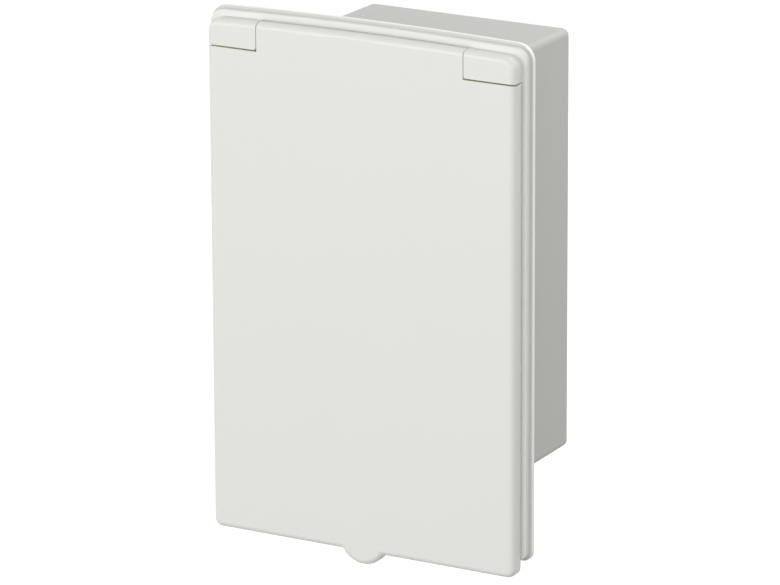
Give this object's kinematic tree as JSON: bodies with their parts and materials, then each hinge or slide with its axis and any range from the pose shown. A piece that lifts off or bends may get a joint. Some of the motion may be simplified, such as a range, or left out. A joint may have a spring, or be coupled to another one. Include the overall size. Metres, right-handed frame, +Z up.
{
  "type": "cee inlet box",
  "caption": "Flush wall box for a vehicle power inlet: top-hinged white lid on a stepped frame, deep rear tub, tilted round pin inlet with a latch inside and a cable gland behind.",
  "frame": {"origin": "in the wall face, in the middle of the tub's cut-out", "axes": "+X to the right seen from the front, +Y into the wall, +Z up"},
  "size_m": [0.1224, 0.0982, 0.1883],
  "materials": {
    "white": "smooth moulded white plastic",
    "box_white": "fine matt light plastic",
    "blue": "satin blue plastic",
    "black": "satin black plastic",
    "grey": "satin grey plastic",
    "rubber": "soft black rubber",
    "steel": "bright zinc-plated steel",
    "nickel": "nickel-plated brass",
    "magnet": "dark ferrite magnet"
  },
  "bodies": {
    "housing": {"rear_box": "box_white", "front_frame": "white", "frame_seal": "rubber", "frame_screws": "steel", "catch_plate": "steel", "hinge_pin_right": "steel", "hinge_pin_left": "steel", "inlet_carrier": "grey", "carrier_screws": "steel", "inlet_gasket": "rubber", "inlet_body": "blue", "inlet_screws": "steel", "contact_carrier": "black", "pin_live": "nickel", "pin_neutral": "nickel", "pin_earth": "nickel", "terminal_screws": "steel", "latch_pin": "steel", "gland_body": "grey", "gland_washer": "rubber", "gland_locknut": "grey", "gland_seal": "rubber", "gland_cap": "grey"},
    "lid": {"lid": "white", "lid_seal": "rubber", "lid_magnet": "magnet"},
    "latch": {"coupler_latch": "blue"}
  },
  "joints": [
    {"name": "lid_hinge", "type": "hinge", "parent": "housing", "child": "lid", "pos_m": [0, -0.00745, 0.08155], "axis": [-1, 0, 0], "range_deg": [0, 120]},
    {"name": "latch_hinge", "type": "hinge", "parent": "housing", "child": "latch", "pos_m": [0, 0.01788, 0.02675], "axis": [-1, 0, 0], "range_deg": [0, 25]}
  ]
}
